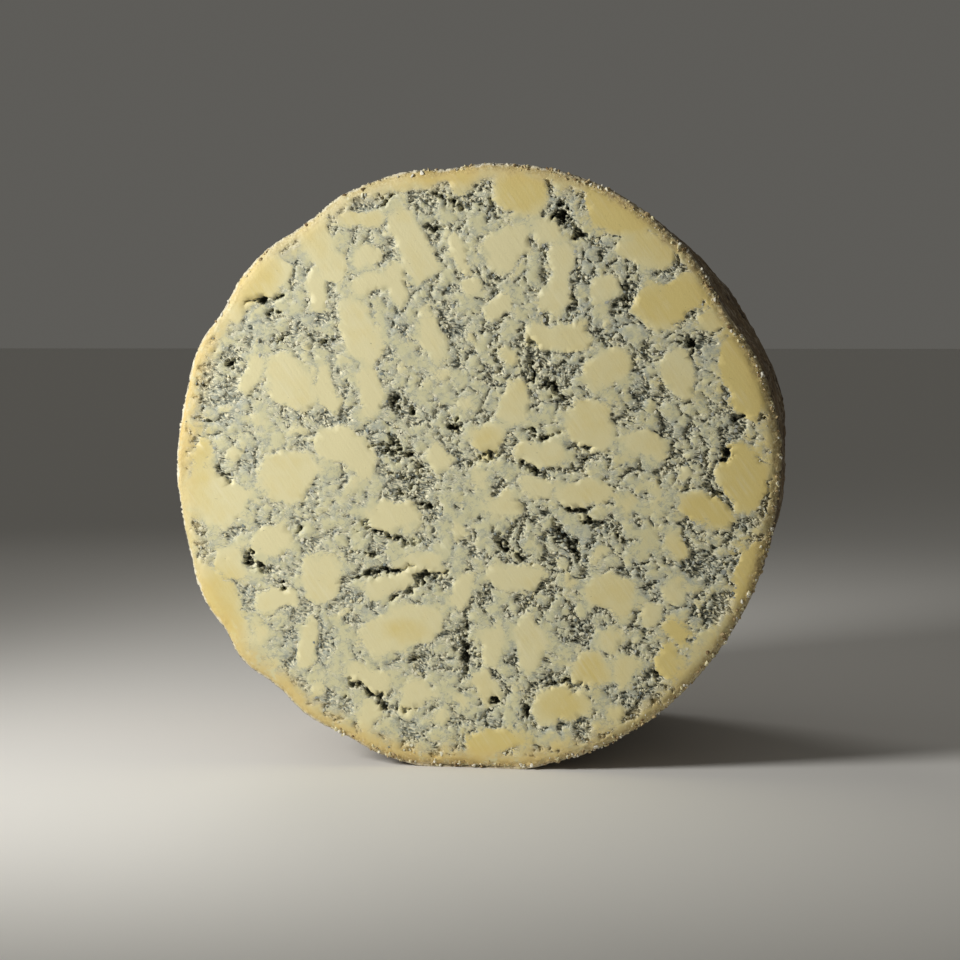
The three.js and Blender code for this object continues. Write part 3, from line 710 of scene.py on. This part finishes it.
def makeCutForm():
    count = face["grid"]
    x, z, fields = faceGrid(count)
    index = np.arange((count + 1) ** 2).reshape(count + 1, count + 1)
    faces = np.stack([index[:-1, :-1], index[1:, :-1], index[1:, 1:], index[:-1, 1:]], axis=-1)
    faces = faces.reshape(-1, 4).tolist()
    points = np.stack([x, fields["depth"], z], axis=-1).reshape(-1, 3)
    values = {name: field.reshape(-1) for name, field in fields.items() if name != "depth"}
    edge = np.concatenate([index[:-1, 0], index[-1, :-1], index[:0:-1, -1], index[0, :0:-1]])
    rings = [points]
    first = len(points)
    # the skirt behind the rim, then the back plate inside the drum
    previous = edge
    ex, ez = points[edge, 0], points[edge, 2]
    for inset, depth in face["skirt"]:
        shrink = 1 - inset / np.hypot(ex, ez)
        rings.append(np.stack([ex * shrink, np.full(len(edge), float(depth)), ez * shrink], axis=-1))
        current = first + np.arange(len(edge))
        faces += np.stack([previous, current, np.roll(current, -1), np.roll(previous, -1)], axis=-1).tolist()
        previous, first = current, first + len(edge)
    rings.append([[0, face["skirt"][-1][1], 0]])
    faces += [[first, b, a] for a, b in zip(previous.tolist(), np.roll(previous, -1).tolist())]
    extra = 1 + len(face["skirt"]) * len(edge)
    values["front"] = np.ones(len(points))
    behind = {"gap": 3.0}  # no vein there; all the other numbers are 0
    for name, value in values.items():
        values[name] = np.append(value, np.full(extra, behind.get(name, 0.0)))
    return meshFrom("cutForm", np.vstack(rings), faces, values)


def veinGrain(canvas, place, gap):
    # the crumbling of the curd along a vein: how far a place lies inside an opening (below 0 outside of one),
    # and the fine grain of its walls. The cut is whole where the lumps reach it and open where they don't.
    flat = canvas.scaled(place, 1, 0, 1)
    sway = canvas.scaled(canvas.sway(flat, face["swayLength"]), face["sway"], 0, face["sway"])
    slim = canvas.scaled(canvas.turned(flat, face["turn"]), face["slimness"], 0, 1)
    swayed = canvas.vector("ADD", slim, sway)
    lumps = canvas.grain(swayed, 1 / face["lumpLength"], 3, 0.62)
    lines = canvas.grain(canvas.vector("ADD", swayed, (37, 0, 11)), 1 / face["lineLength"], 3, 0.6) - 0.5
    whole = lumps.least(lines.most(-lines) * 2.2 + 0.32)
    opening = 0.255 + 0.225 * gap.rise(1.5, -1.8) - whole
    fine = canvas.grain(canvas.vector("ADD", swayed, (5, 0, 23)), 1 / face["grainLength"], 2, 0.6)
    return opening, fine


def vigour(canvas, place):
    # openings are fewer and shallower towards the left
    grown = canvas.axis(place, "X").rise(face["vigourFrom"], face["vigourTo"])
    return face["vigourLeft"] + (1 - face["vigourLeft"]) * grown


def cutTree():
    canvas, inputs = shapeTree("cutRelief", "Void", "Grain", "Curd grain")
    place = canvas.millimetres()
    opening, fine = veinGrain(canvas, place, canvas.named("gap"))
    sunk = inputs["Void"] * opening.rise(-0.01, 0.12) + inputs["Grain"] * (1 - fine) * opening.rise(-0.03, 0.03)
    curd = inputs["Curd grain"] * canvas.grain(place, 1 / face["curdGrainLength"], 3, 0.6)
    sunk = (curd + sunk * vigour(canvas, place)) * canvas.named("front")
    moved = canvas.scaled(canvas.vector("ADD", place, canvas.joined(0, sunk, 0)), mm, mm, mm)
    moved = canvas.add("GeometryNodeSetPosition", {}, {"Geometry": inputs["Geometry"], "Position": moved})
    finishTree(canvas, moved, inputs["Material"])
    return canvas


# Finishes. Colours are linear.
curdFinish = {
    "cream": (0.715, 0.655, 0.38), "ripeCream": (0.67, 0.55, 0.21), "greyCream": (0.595, 0.575, 0.355),
    "mould": (0.27, 0.295, 0.25), "paleMould": (0.435, 0.455, 0.375), "darkMouldAndShade": (0.053, 0.058, 0.04),
    "crumb": (0.79, 0.75, 0.54), "ochre": (0.66, 0.48, 0.155), "tan": (0.44, 0.33, 0.16),
    "brown": (0.19, 0.125, 0.055), "bloom": (0.80, 0.76, 0.62),
}


def newFinish(name, roughness):
    material = bpy.data.materials.new(name)
    material.use_nodes = True
    shader = material.node_tree.nodes["Principled BSDF"]
    shader.inputs["Roughness"].default_value = roughness
    return material, Canvas(material.node_tree), shader


def feed(canvas, shader, **wires):
    for label, wire in wires.items():
        canvas.tree.links.new(wire.socket, shader.inputs[label.replace("_", " ")])


def painted(colours):
    return {name: (*colour, 1) for name, colour in colours.items()}


def makeCurdFinish():
    material, canvas, shader = newFinish("cutCurd", 0.6)
    look = painted(curdFinish)
    gap, inside, tone, mould, rim, pit, ripe, ochre, bloom, crust = (canvas.named(name) for name in (
        "gap", "inside", "tone", "mould", "rim", "pit", "ripe", "ochre", "bloom", "crust"))
    place = canvas.millimetres()
    opening, fine = veinGrain(canvas, place, gap)
    speck = canvas.grain(place, 1.4, 3, 0.65)
    cloud = canvas.grain(place, 0.09, 3, 0.55)
    drift = canvas.grain(place, 0.22, 3, 0.6) - 0.5
    # curd: cream nuggets, each a little different and riper by the rind, in greyer curd
    warm = ripe * 0.6 + rim.rise(22, 2) * 0.4 + (tone - 0.5) * 0.3 + (cloud - 0.5) * 0.8
    # warmer towards the right: a painted warm cast of light on the side away from the key light
    warm = warm + canvas.axis(place, "X").rise(-30, 85) * 0.44 - 0.18
    warm = warm + (canvas.grain(place, 0.17, 3, 0.6) - 0.5) * 0.9 + inside.rise(0, 5) * 0.15
    grey = (inside + drift * 11).rise(2.4, -2.6) * 0.85 - ripe * 0.25 + (cloud - 0.5) * 0.4
    curd = canvas.blend(grey, look["cream"], look["greyCream"])
    curd = canvas.blend(warm * (1 - 0.35 * grey), curd, look["ripeCream"])
    streaks = canvas.grain(canvas.scaled(canvas.turned(place, 35), 0.9, 0.9, 0.05), 1, 2, 0.5)
    curd = canvas.blend((streaks - 0.49) * cloud.rise(0.4, 0.62) * 1.2, curd, look["crumb"])
    # the mould's haze, in soft spots and round the openings
    spots = canvas.grain(place, 0.4, 3, 0.6)
    haze = gap.rise(2.2, -0.8) * 0.65 + (spots - 0.5) * 3.2 + mould * 0.5 - 0.165
    curd = canvas.blend(haze * 0.85 * inside.rise(1.2, -0.6) * rim.rise(2.5, 6), curd, look["paleMould"])
    near = gap.rise(1.7, 0.4)
    stain = (opening + (speck - 0.5) * 0.12).rise(-0.1, 0.01) * near * (0.35 + 0.35 * mould)
    curd = canvas.blend(stain, curd, look["mould"])
    # thin threads of mould through the paler curd
    threads = canvas.grain(canvas.scaled(canvas.turned(place, 20), 0.7, 0, 1), 0.42, 3, 0.62) - 0.5
    threads = threads.most(-threads).rise(0.045, 0.0) * spots.rise(0.4, 0.55) * gap.rise(2.8, 0.8)
    curd = canvas.blend(threads * 0.6 * rim.rise(3, 7), curd, look["mould"])
    # openings: pale torn curd and mould on their walls, with painted highlight on the grain's tops and painted
    # shade over dark mould where the grain is low and the opening deep
    opening = opening.most(pit.rise(0.3, 1.1) * 0.3 - 0.23)
    pale = (fine - 0.5) * 6.0 + (speck - 0.5) * 2.5 + 0.5 - 0.25 * mould
    torn = canvas.blend(pale, look["mould"], look["crumb"])
    # painted shade over dark mould: darker the deeper the opening and the lower the grain, less towards the
    # left
    dark = (opening.rise(0.01, 0.10) * 1.15 - (fine - 0.44) * 5.0) * 0.7 * vigour(canvas, place)
    torn = canvas.blend(dark, torn, look["darkMouldAndShade"])
    colour = canvas.blend(opening.rise(-0.015, 0.02), curd, torn)
    # painted highlight in the pale crumb colour on the openings' lips, where the grain stands high
    flakeHighlight = opening.rise(-0.07, -0.03) * opening.rise(0.05, 0.02) * fine.rise(0.44, 0.56) * near
    colour = canvas.blend(flakeHighlight * 0.8, colour, look["crumb"])
    # painted shade over dark mould, deep in the cracks and holes
    deep = (pit - (fine - 0.5) * 7 - (speck - 0.5) * 3).rise(1.3, 2.6)
    colour = canvas.blend(deep * 0.8, colour, look["darkMouldAndShade"])
    # the rim: ochre under the rind, then its crust and bloom on the very edge
    blotch = canvas.grain(place, 0.28, 3, 0.6)
    colour = canvas.blend(ochre * (rim + drift * 8).rise(10, 1) * blotch.rise(0.25, 0.5), colour, look["ochre"])
    flecks = canvas.grain(place, 1.1, 3, 0.7)
    # the crust's dark flecks and the white bloom follow the rim's sectors, which also paint shade on the right
    # and at the bottom
    crusty = crust * (rim + drift * 6).rise(4.2, 1.4)
    colour = canvas.blend(crusty * flecks.rise(0.4, 0.52) * 0.9, colour, look["tan"])
    colour = canvas.blend(crusty * flecks.rise(0.58, 0.66) * 0.85, colour, look["brown"])
    white = bloom * (rim + drift * 3).rise(1.7, 0.5) + crusty * flecks.rise(0.42, 0.36) * 0.9
    colour = canvas.blend(white * 0.85, colour, look["bloom"])
    height = fine * 1.6 * opening.rise(-0.04, 0.02) - opening.rise(-0.02, 0.05) + speck * 0.22
    height = height + canvas.grain(place, 3, 3, 0.6) * 0.2 + streaks * 0.3 + flecks * rim.rise(4, 1.5) * 1.6
    bump = canvas.add("ShaderNodeBump", {}, {"Strength": 0.6, "Distance": 0.35 * mm, "Height": height})
    feed(canvas, shader, Base_Color=colour, Normal=bump, Roughness=0.52 + 0.3 * opening.rise(-0.05, 0.02))
    return material


rindFinish = {
    "tan": (0.40, 0.29, 0.15), "brown": (0.19, 0.125, 0.06), "grey": (0.36, 0.32, 0.245),
    "bloom": (0.64, 0.60, 0.51), "ochre": (0.47, 0.27, 0.10), "cream": (0.66, 0.56, 0.34),
    "dark": (0.085, 0.055, 0.028),
}


def makeRindFinish():
    material, canvas, shader = newFinish("rindCrust", 0.85)
    look = painted(rindFinish)
    place = canvas.millimetres()
    lumps, cobbles, grains, cracks, pits = rindRelief(canvas, place)
    lip, bloom = canvas.named("lip"), canvas.named("bloom")
    broad = canvas.grain(place, 0.028, 3, 0.55)
    cloud = canvas.grain(place, 0.075, 4, 0.62)
    speck = canvas.grain(place, 0.8, 4, 0.7)
    colour = canvas.blend((broad * 0.7 + lumps * 0.5).rise(0.45, 0.72), look["brown"], look["tan"])
    colour = canvas.blend((cloud + (speck - 0.5) * 0.3).rise(0.54, 0.68) * 0.7, colour, look["ochre"])
    greyed = canvas.grain(place, 0.05, 3, 0.6).rise(0.4, 0.62)
    # the rind's grey and powder follow the rim's bloom, so it is browner on the right and at the bottom: partly
    # real powder, partly painted shade where it faces away from the key light
    dustAndShade = 0.3 + 0.7 * bloom
    colour = canvas.blend(greyed * speck.rise(0.35, 0.6) * 0.75 * dustAndShade, colour, look["grey"])
    powder = canvas.grain(place, 0.06, 4, 0.6) * 1.4 + lumps * 0.5 + cobbles * 0.3 + speck * 0.4
    powder = (powder + (grains - 0.5) * 0.4 - 0.75).rise(0.35, 0.72)
    colour = canvas.blend(powder * 0.85 * dustAndShade, colour, look["bloom"])
    # painted shade: darker in the hollows between the cobbles, in the cracks and in the pits
    sunk = (0.42 - cobbles).rise(0, 0.3) * 0.5 + cracks * 0.5 + pits * 0.7
    colour = canvas.blend(sunk, colour, look["dark"])
    edge = lip * (0.8 + (speck - 0.5) * 1.2)
    colour = canvas.blend(edge, colour, look["cream"])
    colour = canvas.blend(edge * bloom, colour, look["bloom"])
    height = grains * 0.7 + speck * 0.6 + canvas.grain(place, 2.2, 3, 0.65) * 0.4 - cracks * 0.6 - pits * 0.5
    bump = canvas.add("ShaderNodeBump", {}, {"Strength": 0.8, "Distance": 0.6 * mm, "Height": height})
    feed(canvas, shader, Base_Color=colour, Normal=bump, Roughness=0.95 - 0.2 * speck)
    return material


# The cut face's flat map, meant for baking its colours on: shares of the map's side
cutMap = {"spread": 0.49, "rimRoom": 4, "folds": [0, 0.8, 1.6, 2.6], "plateAt": 0.085, "plateSpread": 0.075}


def heldNumbers(items, name, kind):
    # one of a mesh's own lists as an array; a place holds three numbers
    values = np.empty(len(items) * (3 if name == "co" else 1), kind)
    items.foreach_get(name, values)
    return values


def mapCut(obj):
    # the front as it is seen, the skirt folded out round it, the back plate in a corner
    mesh = obj.data
    place = (heldNumbers(mesh.vertices, "co", np.float32).reshape(-1, 3) - axisPlace) / mm
    front = heldNumbers(mesh.attributes["front"].data, "value", np.float32)
    corner = heldNumbers(mesh.loops, "vertex_index", np.int32)
    starts = heldNumbers(mesh.polygons, "loop_start", np.int32)
    x, depth, z = place.T
    angle, radius = np.arctan2(z, x), np.hypot(x, z)
    depths = [0, *(row[1] for row in face["skirt"])]
    radius = np.where(front > 0.5, radius, edgeRadius(angle) + np.interp(depth, depths, cutMap["folds"]))
    spread = cutMap["spread"] / (drum["radius"] + cutMap["rimRoom"])
    flat = 0.5 + np.stack([radius * np.cos(angle), radius * np.sin(angle)], axis=-1)[corner] * spread
    plate = cutMap["plateAt"] + np.stack([x, z], axis=-1)[corner] * cutMap["plateSpread"] / drum["radius"]
    back = np.minimum.reduceat(depth[corner], starts) > depths[-1] - 0.5
    back = np.repeat(back, np.diff(np.append(starts, len(corner))))
    flat[back] = plate[back]
    mesh.uv_layers.new(name="OFBake").data.foreach_set("uv", flat.astype(np.float32).reshape(-1))


curdMaterial = makeCurdFinish()
rindMaterial = makeRindFinish()
print("stage: finishes made")

rindForm = makeRindForm()
applyTree(rindForm, rindTree(), rindMaterial, {
    "Lump": rind["lump"], "Cobble": rind["cobble"], "Grain": rind["grain"], "Crack": rind["crack"],
    "Pit": rind["pit"]})
rindShell = settle(rindForm, "rindShell", rind["keptShare"])

cutForm = makeCutForm()
applyTree(cutForm, cutTree(), curdMaterial, {
    "Void": face["void"], "Grain": face["grain"], "Curd grain": face["curdGrain"]})
cutFace = settle(cutForm, "cutFace", face["keptShare"])
mapCut(cutFace)

# Loose crumbs: in the veins, and along the cut edge of the rind. Sizes in mm, density to the square metre.
veinCrumbs = {"Density": 4e5, "Smallest": 0.25, "Largest": 0.75, "Lift": 0.2, "Seed": 5}
edgeCrumbs = {"Density": 1.8e6, "Smallest": 0.2, "Largest": 0.85, "Lift": 0.1, "Seed": 5}
crumbShape = {"long": (0.8, 1.5), "slim": (0.5, 1.0), "high": (0.7, 1.1), "knock": 0.3, "clear": 0.04}


def crumbTree(name, mask):
    # scatters uneven crumbs over a mesh, as thick as the mask's number says
    canvas, inputs = shapeTree(name, *veinCrumbs)

    def drawn(seed, low=0.0, high=1.0):
        return canvas.add("FunctionNodeRandomValue", {"data_type": "FLOAT"}, {2: low, 3: high, 8: seed}, out=1)

    def noted(points, label, value):
        values = {"Geometry": points, "Name": label, "Value": value}
        return canvas.add("GeometryNodeStoreNamedAttribute", {"data_type": "FLOAT"}, values)

    points = canvas.add("GeometryNodeDistributePointsOnFaces", {}, {
        "Mesh": inputs["Geometry"], "Density": inputs["Density"] * mask(canvas), "Seed": inputs["Seed"]})
    points = noted(points, "bit", drawn(4))
    share = drawn(1)
    size = (inputs["Smallest"] + (inputs["Largest"] - inputs["Smallest"]) * share * share * share) * mm
    points = noted(points, "size", size)
    stretch = canvas.joined(*(size * drawn(seed, *crumbShape[side])
                              for seed, side in ((5, "long"), (6, "slim"), (7, "high"))))
    turn = canvas.joined(*(drawn(seed, 0, 6.28) for seed in (8, 9, 10)))
    ball = canvas.add("GeometryNodeMeshIcoSphere", {}, {"Radius": 1.0, "Subdivisions": 1})
    crumbs = canvas.add("GeometryNodeInstanceOnPoints", {}, {
        "Points": points, "Instance": ball, "Rotation": turn, "Scale": stretch})
    crumbs = canvas.add("GeometryNodeRealizeInstances", {}, {"Geometry": crumbs})
    # each corner is knocked a little, and no crumb leaves the cheese's box
    knock = canvas.add("FunctionNodeRandomValue", {"data_type": "FLOAT_VECTOR"}, {
        0: (-crumbShape["knock"],) * 3, 1: (crumbShape["knock"],) * 3, 8: 11})
    size = canvas.named("size")
    moved = canvas.vector("ADD", canvas.stretched(knock, size), canvas.joined(0, size * inputs["Lift"] * -1, 0))
    place = canvas.vector("ADD", canvas.add("GeometryNodeInputPosition"), moved)
    clear = Vector((1, 1, 1)) * crumbShape["clear"] * mm
    place = canvas.vector("MAXIMUM", place, tuple(Vector(cadBox[0]) + clear))
    place = canvas.vector("MINIMUM", place, tuple(Vector(cadBox[1]) - clear))
    crumbs = canvas.add("GeometryNodeSetPosition", {}, {"Geometry": crumbs, "Position": place})
    finishTree(canvas, crumbs, inputs["Material"])
    return canvas


def scatter(name, ground, values, mask, material):
    bed = addObject(name + "Bed", ground.data)
    applyTree(bed, crumbTree(name, mask), material, values)
    return settle(bed, name)


def inVeins(canvas):
    thick = canvas.grain(canvas.millimetres(), 0.25, 2, 0.6).rise(0.35, 0.6)
    shallow = 1 - canvas.named("pit").rise(2.5, 4)
    return canvas.named("gap").rise(0.0, -0.8) * canvas.named("front") * thick * shallow


def onEdge(canvas):
    patchy = canvas.grain(canvas.millimetres(), 0.22, 3, 0.6).rise(0.4, 0.6)
    crusty = canvas.named("crust").rise(0.15, 0.65)
    return canvas.named("rim").rise(3.2, 0.8) * canvas.named("front") * patchy * crusty


crumbFinish = {
    "pale": (0.72, 0.69, 0.52), "cream": (0.66, 0.60, 0.36), "grey": (0.40, 0.41, 0.36),
    "mould": (0.22, 0.25, 0.23), "tan": (0.46, 0.35, 0.18), "brown": (0.22, 0.14, 0.06),
    "bloom": (0.76, 0.73, 0.62),
}


def makeCrumbFinish(name, first, steps):
    # steps: where a crumb's own draw changes its colour, and the colour after it
    material, canvas, shader = newFinish(name, 0.8)
    look = painted(crumbFinish)
    place = canvas.millimetres()
    bit = canvas.named("bit") + (canvas.grain(place, 1.5, 2, 0.6) - 0.5) * 0.4
    colour = look[first]
    for at, label in steps:
        colour = canvas.blend(bit.rise(at - 0.08, at + 0.08), colour, look[label])
    bump = canvas.add("ShaderNodeBump", {}, {
        "Strength": 0.4, "Distance": 0.2 * mm, "Height": canvas.grain(place, 3, 2, 0.6)})
    feed(canvas, shader, Base_Color=colour, Normal=bump)
    return material


veinBits = scatter("veinCrumbs", cutFace, veinCrumbs, inVeins, makeCrumbFinish(
    "crumbledCurd", "pale", ((0.4, "cream"), (0.55, "grey"), (0.85, "mould"))))
edgeBits = scatter("edgeCrumbs", cutFace, edgeCrumbs, onEdge, makeCrumbFinish(
    "crumbledEdge", "bloom", ((0.25, "cream"), (0.55, "tan"), (0.85, "brown"))))
for piece, slotName in ((veinBits, "curd"), (edgeBits, "rind")):
    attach(piece, "root")

for piece, slotName in ((cutFace, "curd"), (rindShell, "rind")):
    for polygon in piece.data.polygons:
        polygon.use_smooth = True
    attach(piece, "root")
    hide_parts(node)

# The floor, the lights and the camera, in metres
studio = {
    "floorHalf": 40, "floorColour": (0.76, 0.75, 0.725, 1), "floorRoughness": 0.9,
    "airColour": (0.62, 0.60, 0.55, 1), "airStrength": 0.18,
}
lamps = {
    "keyLight": {"place": (-0.445, -0.375, 0.325), "radius": 0.11, "power": 15.6, "cone": 80,
                 "colour": (1.0, 0.985, 0.95)},
    "backLight": {"place": (-0.55, 1.0, 0.75), "radius": 0.3, "power": 11.0, "cone": 60,
                  "colour": (1.0, 0.97, 0.92)},
}
lampAim = Vector((0, 0, 0.09))
lens = {
    "focal": 82.5, "sensor": 36, "near": 0.05, "yaw": 9, "pitch": 3.615,
    "offset": (113.35, -713.59, 41.04),  # mm from the middle of the cut face
}

half = studio["floorHalf"]
floorMesh = bpy.data.meshes.new("floor")
floorMesh.from_pydata(
    [(-half, -half, 0), (half, -half, 0), (half, half, 0), (-half, half, 0)], [], [(0, 1, 2, 3)])
floorMaterial, _, floorShader = newFinish("paleFloor", studio["floorRoughness"])
floorShader.inputs["Base Color"].default_value = studio["floorColour"]
floorMesh.materials.append(floorMaterial)
floor = addObject("floor", floorMesh)

for name, look in lamps.items():
    data = bpy.data.lights.new(name, "SPOT")
    data.shadow_soft_size = look["radius"]
    data.energy = look["power"]
    data.color = look["colour"]
    data.spot_size = math.radians(look["cone"])
    data.spot_blend = 1
    lamp = addObject(name, data)
    lamp.location = look["place"]
    lamp.rotation_euler = (lampAim - Vector(look["place"])).to_track_quat("-Z", "Y").to_euler()

world = bpy.data.worlds.new("studioAir")
world.use_nodes = True
world.node_tree.nodes["Background"].inputs["Color"].default_value = studio["airColour"]
world.node_tree.nodes["Background"].inputs["Strength"].default_value = studio["airStrength"]
bpy.context.scene.world = world
bpy.context.scene.view_settings.view_transform = "Standard"

cameraData = bpy.data.cameras.new("photoView")
cameraData.lens = lens["focal"]
cameraData.sensor_width = lens["sensor"]
cameraData.clip_start = lens["near"]
camera = addObject("photoView", cameraData)
faceMiddle = Vector(axisPlace) + Vector((drum["readX"], 0, drum["readZ"])) * mm
camera.location = faceMiddle + Vector(lens["offset"]) * mm
camera.rotation_euler = Euler((math.radians(90 - lens["pitch"]), 0, math.radians(lens["yaw"])))
bpy.context.scene.camera = camera

print("stage: done")
